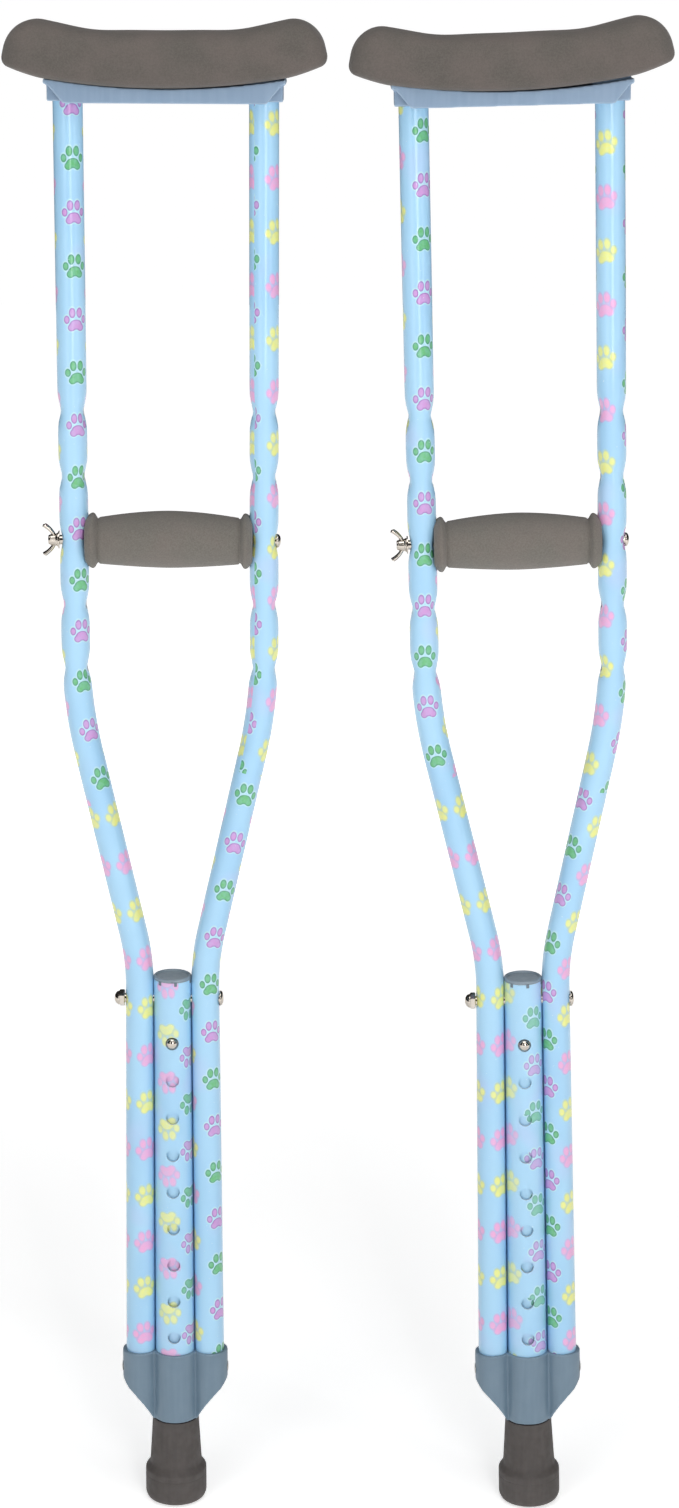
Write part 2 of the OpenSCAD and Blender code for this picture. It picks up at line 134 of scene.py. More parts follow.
class Shader:
    """Short calls that add nodes to a material or group. A value is a number, a colour or an output."""

    def __init__(self, tree):
        self.tree = tree

    def node(self, kind, **settings):
        made = self.tree.nodes.new("ShaderNode" + kind)
        for key, value in settings.items():
            setattr(made, key, value)
        return made

    def feed(self, socket, value):
        if isinstance(value, bpy.types.NodeSocket):
            self.tree.links.new(value, socket)
        else:
            socket.default_value = value

    def math(self, operation, *values):
        made = self.node("Math", operation=operation)
        for socket, value in zip(made.inputs, values):
            self.feed(socket, value)
        return made.outputs[0]

    def ramp(self, value, start, end, low_value=0.0, high_value=1.0):
        """A smooth step from low_value at start to high_value at end."""
        made = self.node("MapRange", interpolation_type="SMOOTHSTEP")
        spans = {"Value": value, "From Min": start, "From Max": end, "To Min": low_value,
                 "To Max": high_value}
        for name, number in spans.items():
            self.feed(made.inputs[name], number)
        return made.outputs["Result"]

    def mix(self, factor, first, second, mode="MIX"):
        made = self.node("Mix", data_type="RGBA", blend_type=mode)
        self.feed(made.inputs[0], factor)
        self.feed(made.inputs[6], first)
        self.feed(made.inputs[7], second)
        return made.outputs[2]

    def place(self):
        """Position in the row frame at rest, in metres."""
        return self.node("TexCoord").outputs["Object"]

    def noise(self, size_mm, detail=2.0, roughness=0.5, vector=None):
        """Noise from 0 to 1 with features of about this size."""
        made = self.node("TexNoise")
        self.feed(made.inputs["Vector"], vector or self.place())
        made.inputs["Scale"].default_value = MM / size_mm
        made.inputs["Detail"].default_value = detail
        made.inputs["Roughness"].default_value = roughness
        return made.outputs["Fac"]

    def stretched(self, x_mm, y_mm, z_mm, detail=2.0):
        """Noise whose features are this long along each axis."""
        mapping = self.node("Mapping")
        self.feed(mapping.inputs["Vector"], self.place())
        mapping.inputs["Scale"].default_value = (MM / x_mm, MM / y_mm, MM / z_mm)
        return self.noise(MM, detail, vector=mapping.outputs["Vector"])

    def bump(self, height, depth_mm, strength=1.0):
        made = self.node("Bump")
        self.feed(made.inputs["Height"], height)
        made.inputs["Distance"].default_value = depth_mm / MM
        made.inputs["Strength"].default_value = strength
        return made.outputs["Normal"]


def new_material(name):
    """A material, its helper and its Principled shader node."""
    material = bpy.data.materials.new(name)
    material.use_nodes = True
    surface = material.node_tree.nodes["Principled BSDF"]
    return material, Shader(material.node_tree), surface


# ---------------------------------------------------------------- materials

FILM_BLUE = srgb(167, 212, 241)
FILM_DEEP = srgb(152, 200, 236)
FILM_LILAC = srgb(186, 202, 240)
PAW_GREEN = srgb(98, 184, 116)
PAW_PURPLE = srgb(202, 146, 210)
PAW_YELLOW = srgb(234, 236, 132)
PAW_PINK = srgb(236, 168, 214)
COLOUR_PITCH = 64                                 # a colour comes back at this distance along a tube
ROW_PITCH = COLOUR_PITCH / 2                      # distance from one paw of a column to the next
CRISP, SOFT = 0, 1                                # the two families of paw
CRISP_TO_SOFT, SOFT_TO_CRISP = 15.4, 19.6         # distances round a tube from a column to the next
OVER_SEAM = 120                                   # angle between the columns on either side of a seam
WRAP_FOOT_Z, WRAP_JOINT_Z = 80, 490               # a bow tube's lower wrap; its upper one is above it
ROWS_TO_JOINT = 6.5                               # the joint is midway between two paws of the upper wrap
LOWER_WRAP = (WRAP_FOOT_Z, WRAP_JOINT_Z)
UPPER_WRAP = (WRAP_JOINT_Z, BOW_TOP_Z)
CENTRE_WRAP = (WRAP_FOOT_Z, high("left_centre_tube").z)


def paw_group():
    """Node group: a paw's mask and colours from millimetres across and along, family and parity.

    Family 0 is the crisp green and purple print, family 1 the soft yellow and pink one."""
    group = bpy.data.node_groups.new("paw_print", "ShaderNodeTree")
    for name in ("Across", "Along", "Family", "Odd"):
        group.interface.new_socket(name, in_out="INPUT", socket_type="NodeSocketFloat")
    results = {"Colour": "NodeSocketColor", "Cover": "NodeSocketFloat", "Halo": "NodeSocketFloat"}
    for name, kind in results.items():
        group.interface.new_socket(name, in_out="OUTPUT", socket_type=kind)
    s = Shader(group)
    given = group.nodes.new("NodeGroupInput").outputs
    across, along = given["Across"], given["Along"]
    family, odd = given["Family"], given["Odd"]

    turn = s.math("MULTIPLY", family, 0.15)
    cos, sin = s.math("COSINE", turn), s.math("SINE", turn)
    x = s.math("MULTIPLY_ADD", across, cos, s.math("MULTIPLY", along, sin))
    y = s.math("SUBTRACT", s.math("MULTIPLY", along, cos), s.math("MULTIPLY", across, sin))
    x = s.math("ABSOLUTE", x)

    def oval(cx, cy, rx, ry):
        dx = s.math("DIVIDE", s.math("SUBTRACT", x, cx), rx)
        dy = s.math("DIVIDE", s.math("SUBTRACT", y, cy), ry)
        square = s.math("MULTIPLY_ADD", dx, dx, s.math("MULTIPLY", dy, dy))
        return s.math("MULTIPLY", s.math("SUBTRACT", s.math("SQRT", square), 1.0), min(rx, ry))

    heel = s.math("SMOOTH_MIN", oval(0, -2.3, 3.9, 2.9), oval(2.9, -4.2, 2.2, 2.1), 1.4)
    toes = s.math("MINIMUM", oval(5.7, 0.6, 1.75, 2.4), oval(2.3, 4.7, 1.95, 3.0))
    crisp = s.math("MINIMUM", heel, toes)
    soft = s.math("SUBTRACT", s.math("SMOOTH_MIN", heel, toes, 3.0), 0.2)

    cover = s.ramp(crisp, 0.22, -0.08)
    soft_cover = s.ramp(soft, 0.85, -0.75)
    halo = s.math("SUBTRACT", s.ramp(crisp, 1.0, 0.35), cover)
    rim = s.ramp(crisp, -0.9, -0.15)
    crease = s.math("MULTIPLY", s.ramp(crisp, -0.5, 0.3), 0.7)

    cool = s.mix(odd, PAW_GREEN, PAW_PURPLE)
    warm = s.mix(odd, PAW_YELLOW, PAW_PINK)
    cool = s.mix(s.math("MULTIPLY", rim, 0.7), cool, s.mix(odd, srgb(52, 128, 104), srgb(140, 96, 176)))
    warm = s.mix(crease, warm, s.mix(odd, srgb(196, 206, 128), srgb(206, 150, 208)))

    done = group.nodes.new("NodeGroupOutput").inputs
    s.feed(done["Colour"], s.mix(family, cool, warm))
    both = s.math("MULTIPLY_ADD", s.math("SUBTRACT", soft_cover, cover), family, cover)
    s.feed(done["Cover"], both)
    s.feed(done["Halo"], s.math("MULTIPLY", halo, s.math("SUBTRACT", 1.0, family)))
    return group


def stretch(span, green_z, turns, columns, radius=BOW_R, turned=False, ink=1.0):
    """A stretch of print: columns of paws that turn slowly round the tube with height.

    span is the stretch's foot and top, and turns the angles of its guide column there. green_z is the
    height of one green row. A column is (angle from the guide column, family). It starts halfway from
    the column before, unless it adds the tube angle where it starts. The others follow round the back
    at the print's own spacing. Turned print is upside down, and ink is how strong the paws are."""
    half_round = 230
    guide = next(column[1] for column in columns if column[0] == 0)
    spacing = [math.degrees(step / radius) for step in (CRISP_TO_SOFT, SOFT_TO_CRISP)]
    crisp_to_soft, soft_to_crisp = spacing[::-1] if turned else spacing
    columns = list(columns)
    while columns[0][0] > -half_round:
        angle, family = columns[0][:2]
        before = (angle - crisp_to_soft, CRISP) if family == SOFT else (angle - soft_to_crisp, SOFT)
        columns.insert(0, before)
    while columns[-1][0] < half_round:
        angle, family = columns[-1][:2]
        after = (angle + crisp_to_soft, SOFT) if family == CRISP else (angle + soft_to_crisp, CRISP)
        columns.append(after)
    full = []
    for before, column in zip([columns[0]] + columns, columns):
        fixed = len(column) > 2
        start = column[2] if fixed else (before[0] + column[0]) / 2
        full.append({"start": start, "fixed": fixed, "middle": column[0], "family": column[1]})
    return {
        "span": span,
        "turns": turns,
        "green_z": green_z,
        "joint_z": green_z + (guide / 2 - ROWS_TO_JOINT) * ROW_PITCH,
        "columns": full,
        "ink": ink,
        "way": -1 if turned else 1,
    }


def guide_angle(s, height, part):
    """Angle of a stretch's guide column at this height."""
    (foot_z, top_z), (foot_turn, top_turn) = part["span"], part["turns"]
    slope = (top_turn - foot_turn) / (top_z - foot_z)
    return s.math("MULTIPLY_ADD", height, slope, foot_turn - slope * foot_z)


def stepped(s, straight, angle, columns, key):
    """What the column that this angle lies in holds under key."""
    total = columns[0][key]
    for before, column in zip(columns, columns[1:]):
        past = s.math("GREATER_THAN", angle if column["fixed"] else straight, column["start"])
        total = s.math("MULTIPLY_ADD", past, column[key] - before[key], total)
    return total


def printed_film(name, radius, seams, upper, lower=None):
    """The printed wrap of one tube. The lower stretch, if there is one, holds below the wraps' joint.

    seams are the angles where the tube lies against a neighbour; there the wrap takes a painted shade."""
    material, s, surface = new_material(name)
    uv = s.node("UVMap", uv_map="film")
    split = s.node("SeparateXYZ")
    s.feed(split.inputs[0], uv.outputs["UV"])
    angle = s.math("MULTIPLY", split.outputs["X"], 360.0)
    height = s.math("MULTIPLY", split.outputs["Y"], MM)
    below = s.math("LESS_THAN", height, upper["joint_z"])

    found = []
    for part in (upper, lower or upper):
        rise = s.math("SUBTRACT", height, part["green_z"])
        straight = s.math("SUBTRACT", angle, guide_angle(s, height, part))
        off = s.math("SUBTRACT", straight, stepped(s, straight, angle, part["columns"], "middle"))
        found.append({
            "across": s.math("MULTIPLY", off, part["way"] * math.radians(radius)),
            "rise": s.math("MULTIPLY", rise, part["way"] / ROW_PITCH),
            "family": stepped(s, straight, angle, part["columns"], "family"),
        })

    def either(key):
        step = s.math("SUBTRACT", found[1][key], found[0][key])
        return s.math("MULTIPLY_ADD", step, below, found[0][key])

    family = either("family")
    row = s.math("MULTIPLY_ADD", family, -0.5, either("rise"))
    nearest = s.math("ROUND", row)
    along = s.math("MULTIPLY", s.math("SUBTRACT", row, nearest), ROW_PITCH)
    odd = s.math("ABSOLUTE", s.math("MODULO", nearest, 2.0))

    paw = s.node("Group")
    paw.node_tree = PAW
    for socket, value in {"Across": either("across"), "Along": along, "Family": family, "Odd": odd}.items():
        s.feed(paw.inputs[socket], value)

    clouds = s.math("MULTIPLY", s.ramp(s.stretched(30, 30, 80), 0.42, 0.75), 0.6)
    ground = s.mix(clouds, FILM_BLUE, FILM_DEEP)
    ground = s.mix(s.math("MULTIPLY", s.ramp(s.noise(34, 1), 0.58, 0.76), 0.4), ground, FILM_LILAC)
    ground = s.mix(s.math("MULTIPLY", paw.outputs["Halo"], 0.55), ground, srgb(200, 236, 232))
    ink = upper["ink"]
    blotch = s.ramp(s.noise(2.5, 3), 0.25, 0.75, 0.82 * ink, ink)
    inked = s.mix(s.math("MULTIPLY", paw.outputs["Cover"], blotch), ground, paw.outputs["Colour"])
    specks = s.ramp(s.noise(1.6, 2), 0.745, 0.77)
    inked = s.mix(s.math("MULTIPLY", specks, 0.5), inked, srgb(232, 240, 246))
    # Painted shade: below the cross bolt the wrap darkens to deep blue at the angles where it lies against a
    # neighbour.
    bundled = s.ramp(height, CROSS_Z + 12, CROSS_Z - 20)
    for seam in seams:
        off = s.math("ABSOLUTE", s.math("SUBTRACT", angle, seam))
        seam_shade = s.math("MULTIPLY", s.ramp(off, 30, 8, 0.0, 0.7), bundled)
        inked = s.mix(seam_shade, inked, srgb(82, 138, 190))
    s.feed(surface.inputs["Base Color"], inked)
    s.feed(surface.inputs["Roughness"], s.ramp(s.noise(7, 3), 0.3, 0.7, 0.3, 0.42))
    surface.inputs["Coat Weight"].default_value = 0.5
    surface.inputs["Coat Roughness"].default_value = 0.06
    s.feed(surface.inputs["Normal"], s.bump(s.noise(1.8, 3), 0.03, 0.5))
    return material


def foam(name, colour, dark, cell_mm=0.55):
    """Fine closed-cell foam, matte, with pores and faint blotches."""
    material, s, surface = new_material(name)
    cells = s.node("TexVoronoi")
    s.feed(cells.inputs["Vector"], s.place())
    cells.inputs["Scale"].default_value = MM / cell_mm
    pores = s.ramp(cells.outputs["Distance"], 0.1, 0.55)
    grain = s.noise(0.9, 4, 0.65)
    blotch = s.ramp(s.noise(22, 3), 0.3, 0.7)
    tone = s.mix(s.math("MULTIPLY", s.ramp(grain, 0.35, 0.65, 1.0, 0.0), 0.45), colour, dark)
    tone = s.mix(s.math("MULTIPLY", s.ramp(pores, 0.5, 0.0), 0.35), tone, dark)
    tone = s.mix(s.math("MULTIPLY", blotch, 0.16), tone, srgb(134, 116, 112))
    s.feed(surface.inputs["Base Color"], tone)
    s.feed(surface.inputs["Roughness"], s.ramp(grain, 0.3, 0.7, 0.82, 0.97))
    surface.inputs["Specular IOR Level"].default_value = 0.3
    surface.inputs["Sheen Weight"].default_value = 0.12
    surface.inputs["Sheen Roughness"].default_value = 0.6
    relief = s.math("ADD", s.math("MULTIPLY", pores, 0.6), grain)
    s.feed(surface.inputs["Normal"], s.bump(relief, 0.18, 0.55))
    return material


def moulded(name, colour, worn, rough=(0.38, 0.52), texture_mm=0.5, depth_mm=0.03, edges=None):
    """Moulded plastic or rubber: fine texture, faint flow streaks and scuffs.

    edges are two colours of painted light and shade: the first is painted along ridges and the second in
    creases."""
    material, s, surface = new_material(name)
    streaks = s.ramp(s.stretched(3, 3, 40, 3), 0.35, 0.7)
    scuffs = s.ramp(s.stretched(1.2, 1.2, 9, 2), 0.7, 0.8)
    tone = s.mix(s.math("MULTIPLY", streaks, 0.35), colour, worn)
    tone = s.mix(s.math("MULTIPLY", scuffs, 0.18), tone, worn)
    tone = s.mix(s.math("MULTIPLY", s.ramp(s.noise(14, 3), 0.4, 0.75), 0.3), tone, worn)
    if edges:
        # Painted edge light and shade: ridges take the first colour and creases the second, by pointiness.
        bend = s.node("NewGeometry").outputs["Pointiness"]
        tone = s.mix(s.ramp(bend, 0.515, 0.58, 0.0, 0.75), tone, edges[0])
        tone = s.mix(s.ramp(bend, 0.485, 0.42, 0.0, 0.8), tone, edges[1])
    s.feed(surface.inputs["Base Color"], tone)
    s.feed(surface.inputs["Roughness"], s.ramp(s.noise(5, 4), 0.3, 0.7, *rough))
    s.feed(surface.inputs["Normal"], s.bump(s.noise(texture_mm, 3, 0.6), depth_mm, 0.6))
    return material


def metal(name, colour, rough=(0.14, 0.24), scratch=(0.4, 0.4, 6), metallic=1.0):
    """Plated or bare metal with fine scratches along one axis and darker dull patches; metallic is given for
    the whole material.
    """
    material, s, surface = new_material(name)
    lines = s.stretched(*scratch, detail=3)
    patches = s.ramp(s.noise(3, 3), 0.4, 0.8)
    tone = s.mix(s.math("MULTIPLY", patches, 0.2), colour, srgb(150, 144, 136))
    s.feed(surface.inputs["Base Color"], tone)
    surface.inputs["Metallic"].default_value = metallic
    s.feed(surface.inputs["Roughness"], s.ramp(lines, 0.3, 0.7, *rough))
    s.feed(surface.inputs["Normal"], s.bump(lines, 0.01, 0.3))
    return material


PAW = paw_group()
MATERIALS = {
    # The bracket and saddle take a painted highlight on ridges and a painted shade in creases; the cap is
    # painted darker on both.
    "bracket_plastic": moulded("bracket_plastic", srgb(106, 128, 145), srgb(119, 140, 156),
                               edges=(srgb(142, 162, 178), srgb(66, 88, 108))),
    "saddle_plastic": moulded("saddle_plastic", srgb(126, 149, 174), srgb(140, 162, 186),
                              edges=(srgb(176, 196, 214), srgb(90, 110, 134))),
    "cap_plastic": moulded("cap_plastic", srgb(132, 146, 157), srgb(150, 163, 172),
                           edges=(srgb(96, 110, 122), srgb(52, 62, 74))),
    "white_nylon": moulded("white_nylon", srgb(226, 226, 218), srgb(240, 240, 234)),
    "black_plastic": moulded("black_plastic", srgb(34, 34, 35), srgb(52, 52, 53)),
    "tip_rubber": moulded("tip_rubber", srgb(75, 70, 68), srgb(88, 82, 79), (0.62, 0.8), 0.7, 0.06),
    "pad_foam": foam("pad_foam", srgb(96, 91, 86), srgb(70, 66, 62)),
    "grip_foam": foam("grip_foam", srgb(118, 114, 107), srgb(86, 83, 78)),
    "bright_steel": metal("bright_steel", srgb(192, 184, 174), (0.08, 0.16)),
    "spring_steel": metal("spring_steel", srgb(168, 168, 170), (0.25, 0.4)),
    "aluminium_rivet": metal("aluminium_rivet", srgb(190, 190, 188), (0.3, 0.45)),
    "bare_aluminium": metal("bare_aluminium", srgb(214, 224, 232), (0.35, 0.5), metallic=0.25),
}

ABOUT_CRISP = [(0, CRISP)]
ABOUT_SOFT = [(0, SOFT)]
SEAMED = [(-OVER_SEAM, SOFT), (0, SOFT)]          # two soft columns side by side, over the wrap's seam
LAPPED = [(-OVER_SEAM, SOFT), (-OVER_SEAM, CRISP, -40), (0, SOFT, -8)]    # a strip of the wrap's far edge

# The wrap of each tube: the angles where it lies against a neighbour and takes a painted shade, its upper
# stretch and its lower one
FILMS = {
    "left_bow_tube_nut_side": (
        [90],
        stretch(UPPER_WRAP, 685, (35, 20), ABOUT_CRISP),
        stretch(LOWER_WRAP, 260, (15, 60), SEAMED)),
    "left_bow_tube_head_side": (
        [-90],
        stretch(UPPER_WRAP, 690, (70, 50), LAPPED),
        stretch(LOWER_WRAP, 292, (60, 10), ABOUT_CRISP)),
    "right_bow_tube_nut_side": (
        [90],
        stretch(UPPER_WRAP, 704, (-10, 45), ABOUT_CRISP),
        stretch(LOWER_WRAP, 268, (30, 60), SEAMED)),
    "right_bow_tube_head_side": (
        [-90],
        stretch(UPPER_WRAP, 678, (-55, -20), ABOUT_SOFT),
        stretch(LOWER_WRAP, 255, (50, 50), ABOUT_SOFT)),
    "left_centre_tube": (
        [-90, 90],
        stretch(CENTRE_WRAP, 280, (-15, -15), ABOUT_SOFT, radius=CENTRE_R, turned=True, ink=0.88)),
    "right_centre_tube": (
        [-90, 90],
        stretch(CENTRE_WRAP, 275, (45, 30), ABOUT_CRISP, radius=CENTRE_R, ink=0.75)),
}


# ---------------------------------------------------------------- mesh helpers

def eased(points, radius, steps=3):
    """The outline with its inner corners rounded, as far as their neighbours leave room."""
    points = [Vector(p) for p in points]
    out = [points[0]]
    for before, corner, after in zip(points, points[1:], points[2:]):
        back, ahead = before - corner, after - corner
        cut = min(radius, back.length * 0.48, ahead.length * 0.48)
        start, end = corner + back.normalized() * cut, corner + ahead.normalized() * cut
        for k in range(steps + 1):
            share = k / steps
            out.append(start.lerp(corner, share).lerp(corner.lerp(end, share), share))
    out.append(points[-1])
    return out


def arc(cx, cy, radius, start, end, steps):
    """Points along an arc, angles in degrees."""
    for k in range(steps + 1):
        turn = math.radians(start + (end - start) * k / steps)
        yield (cx + radius * math.cos(turn), cy + radius * math.sin(turn))


def loft(rings, closed_ends=True, joined=False):
    """A bmesh skin over rings of points; a ring of one point closes in a tip."""
    bm = bmesh.new()
    made = [[bm.verts.new(p) for p in ring] for ring in rings]
    pairs = list(zip(made, made[1:])) + ([(made[-1], made[0])] if joined else [])
    for first, second in pairs:
        count = max(len(first), len(second))
        for i in range(count if count > 1 else 0):
            j = (i + 1) % count
            near = [first[i % len(first)], first[j % len(first)]]
            far = [second[j % len(second)], second[i % len(second)]]
            bm.faces.new(list(dict.fromkeys(near + far)))
    if closed_ends and not joined:
        for ring in (made[0], made[-1]):
            if len(ring) > 2:
                bm.faces.new(ring)
    bmesh.ops.recalc_face_normals(bm, faces=bm.faces)
    return bm


def lathe(profile, steps=64, joined=False, turned=None):
    """A solid of revolution about Z from (radius, height) pairs, then turned by a matrix."""
    rings = []
    for radius, height in profile:
        if radius < 1e-6:
            rings.append([(0, 0, height)])
        else:
            rings.append([(x, y, height) for x, y in list(arc(0, 0, radius, 0, 360, steps))[:-1]])
    bm = loft(rings, joined=joined)
    if turned is not None:
        bm.transform(turned)
    return bm


def along_x(x, z, sign=1):
    """Takes a lathe's Z axis to sign times X, standing at (x, 0, z)."""
    return Matrix.Translation((x, 0, z)) @ Matrix.Rotation(math.radians(90 * sign), 4, "Y")


def to_front(y, z):
    """Takes a lathe's Z axis to the front, -Y, standing at (0, y, z)."""
    return Matrix.Translation((0, y, z)) @ Matrix.Rotation(math.radians(90), 4, "X")


def merged(*parts):
    """Several bmeshes as one."""
    whole = bmesh.new()
    for part in parts:
        mesh = bpy.data.meshes.new("part")
        part.to_mesh(mesh)
        part.free()
        whole.from_mesh(mesh)
        bpy.data.meshes.remove(mesh)
    return whole


def stood(name, bm):
    """An object with this mesh, linked to the scene."""
    mesh = bpy.data.meshes.new(name)
    bm.to_mesh(mesh)
    bm.free()
    obj = bpy.data.objects.new(name, mesh)
    scene.collection.objects.link(obj)
    return obj


def applied(obj):
    """obj with its modifiers made part of its mesh."""
    bpy.context.view_layer.update()
    graph = bpy.context.evaluated_depsgraph_get()
    shown = obj.evaluated_get(graph)
    mesh = bpy.data.meshes.new_from_object(shown, preserve_all_data_layers=True, depsgraph=graph)
    obj.modifiers.clear()
    old, obj.data = obj.data, mesh
    bpy.data.meshes.remove(old)
    return obj


def cut_by(obj, cutter_bm):
    """Cuts the cutter's volume out of obj. Cut walls take the second material."""
    cutter = stood("cutter", cutter_bm)
    for material in obj.data.materials:
        cutter.data.materials.append(material)
    for face in cutter.data.polygons:
        face.material_index = min(1, max(0, len(obj.data.materials) - 1))
    change = obj.modifiers.new("cut", "BOOLEAN")
    change.operation = "DIFFERENCE"
    change.solver = "EXACT"
    change.object = cutter
    applied(obj)
    bpy.data.objects.remove(cutter)
    return obj


def settle(obj, side, body, nodes, angle=35, local=True):
    """Puts a finished piece in its crutch's place, rides it on its body, and hides the CAD nodes that it
    stands for.
    """
    if local:
        obj.data.transform(PLACES[side])
    obj.data.shade_smooth()
    obj.data.set_sharp_from_angle(angle=math.radians(angle))
    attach(obj, f"{side}_{body}")
    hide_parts(*(f"{side}_{node}" for node in nodes))
    return obj


# ---------------------------------------------------------------- tubes

def bow_line(sign, step=3.5):
    """Stations up a bow tube's middle as (x, z, heading, height on the film), foot first."""
    lower = Vector((BUNDLE_HALF + SPLAY * (CROSS_Z - LOWER_BEND_Z), LOWER_BEND_Z))
    upper = Vector((BOW_HALF, UPPER_BEND_Z))
    foot = Vector((BUNDLE_HALF + SPLAY * (CROSS_Z - BOW_FOOT_Z), BOW_FOOT_Z))
    top = Vector((BOW_HALF, BOW_TOP_Z))
    points = [foot]
    bends = ((foot, lower, upper, LOWER_BEND_R), (lower, upper, top, UPPER_BEND_R))
    for before, corner, after, radius in bends:
        back, ahead = (before - corner).normalized(), (after - corner).normalized()
        turn = math.pi - back.angle(ahead)
        reach = radius * math.tan(turn / 2)
        centre = corner + (back + ahead).normalized() * (radius / math.cos(turn / 2))
        start, end = corner + back * reach - centre, corner + ahead * reach - centre
        swing = start.angle_signed(end)
        count = max(2, round(radius * turn / step))
        for k in range(count + 1):
            points.append(centre + Matrix.Rotation(-swing * k / count, 2) @ start)
    points.append(top)
    dense = [points[0]]
    for before, after in zip(points, points[1:]):
        count = max(1, round((after - before).length / step))
        dense += [before.lerp(after, k / count) for k in range(1, count + 1)]
    stations, height = [], BOW_TOP_Z
    for i in range(len(dense) - 1, -1, -1):
        ahead, behind = dense[min(i + 1, len(dense) - 1)], dense[max(i - 1, 0)]
        if i < len(dense) - 1:
            height -= (dense[i + 1] - dense[i]).length
        rise = (ahead - behind).normalized()
        stations.append((sign * dense[i].x, dense[i].y, math.atan2(rise.y, sign * rise.x), height))
    return stations[::-1]


def pinch(z):
    """How deep a dimple is pressed at this height, in millimetres."""
    depth, half_height = 1.9, 6.5
    return sum(depth * math.exp(-((z - hole_z) / half_height) ** 2) for hole_z in GRIP_HOLES)


def swell(z, growth):
    """How much wider a tube of the bundle is at this height."""
    return 1 + growth * min(1.0, max(0.0, (CROSS_Z - z) / (CROSS_Z - SWELL_LOW_Z)))


def film_tube(name, stations, radius, wall, growth, material, around=48, dimpled=False):
    """A tube with its wall, swept along stations, with the film's coordinates and two materials."""
    def section(station, inset):
        x, z, heading, _ = station
        ring_r = radius * swell(z, growth) - inset
        side = Vector((math.sin(heading), 0, -math.cos(heading)))
        press = pinch(z) if dimpled else 0
        for k in range(around):
            turn = math.radians(-180 + 360 * k / around)
            out = ring_r * math.sin(turn) - press * math.sin(turn) * abs(math.sin(turn))
            yield Vector((x, 0, z)) + side * out - Vector((0, ring_r * math.cos(turn), 0))
    outer = [list(section(s, 0)) for s in stations]
    inner = [list(section(s, wall)) for s in stations]
    count = len(stations)
    bm = loft(outer + inner[::-1], joined=True)
    uv = bm.loops.layers.uv.new("film")
    bm.verts.index_update()
    for face in bm.faces:
        rows = [v.index // around for v in face.verts]
        face.material_index = 0 if max(rows) < count else 1
        columns = [v.index % around for v in face.verts]
        wraps = max(columns) - min(columns) > 1
        for loop, row, column in zip(face.loops, rows, columns):
            column += around if wraps and column == 0 else 0
            station = stations[row if row < count else 2 * count - 1 - row]
            loop[uv].uv = (column / around - 0.5, station[3] / MM)
    obj = stood(name, bm)
    obj.data.materials.append(material)
    obj.data.materials.append(MATERIALS["bare_aluminium"])
    return obj


def cross_rods(heights, radius, start, end):
    """Cylinders along X to cut with, from start to end, one at each height."""
    outline = [(radius, 0), (radius, end - start)]
    return merged(*[lathe(outline, 32, turned=along_x(start, z)) for z in heights])


def front_rods(heights, radius, start, end):
    """Cylinders along Y to cut with, from start back to end, one at each height."""
    outline = [(radius, 0), (radius, end - start)]
    back = Matrix.Rotation(math.radians(-90), 4, "X")
    return merged(*[lathe(outline, 32, turned=Matrix.Translation((0, start, z)) @ back) for z in heights])


def straight_line(node):
    """Stations up an upright tube's middle, as bow_line() gives them, about 4 mm apart."""
    z0, z1 = low(node).z, high(node).z
    count = STRAIGHT_STEPS[node]
    heights = [z0 + (z1 - z0) * k / count for k in range(count + 1)]
    return [(0, z, math.pi / 2, z) for z in heights]


def bow_tube(side, which):
    """One bent bow tube: nut_side is the left-hand one, head_side the right-hand one."""
    sign = 1 if which == "head_side" else -1
    name = f"bow_tube_{which}"
    material = printed_film(f"{side}_{name}_film", BOW_R, *FILMS[f"{side}_{name}"])
    obj = film_tube(f"{side}_{name}_printed", bow_line(sign), BOW_R, BOW_WALL, BOW_SWELL, material,
                    dimpled=True)
    start, end = sorted((sign * (BOW_HALF - 12), sign * (BOW_HALF + 12)))
    cut_by(obj, cross_rods(GRIP_HOLES, GRIP_HOLE_R, start, end))
    settle(obj, side, "frame", [name])


def centre_tube(side):
    """The middle tube, with its row of height holes down the front."""
    material = printed_film(f"{side}_centre_tube_film", CENTRE_R, *FILMS[f"{side}_centre_tube"])
    obj = film_tube(f"{side}_centre_tube_printed", straight_line("left_centre_tube"), CENTRE_R, TUBE_WALL,
                    CENTRE_SWELL, material, around=64)
    cut_by(obj, front_rods(LEG_HOLES, LEG_HOLE_R, -CENTRE_R - 3, -4))
    settle(obj, side, "frame", ["centre_tube"])


def leg_tube(side):
    """The leg that slides in the centre tube, in the same print."""
    _, same_print = FILMS[f"{side}_centre_tube"]
    material = printed_film(f"{side}_leg_tube_film", LEG_R, [], same_print)
    obj = film_tube(f"{side}_leg_tube_printed", straight_line("left_leg_tube"), LEG_R, TUBE_WALL, 0.0,
                    material, around=64)
    cut_by(obj, front_rods([BUTTON_Z], BUTTON_HOLE_R, -LEG_R - 3, -4))
    settle(obj, side, "leg", ["leg_tube"])


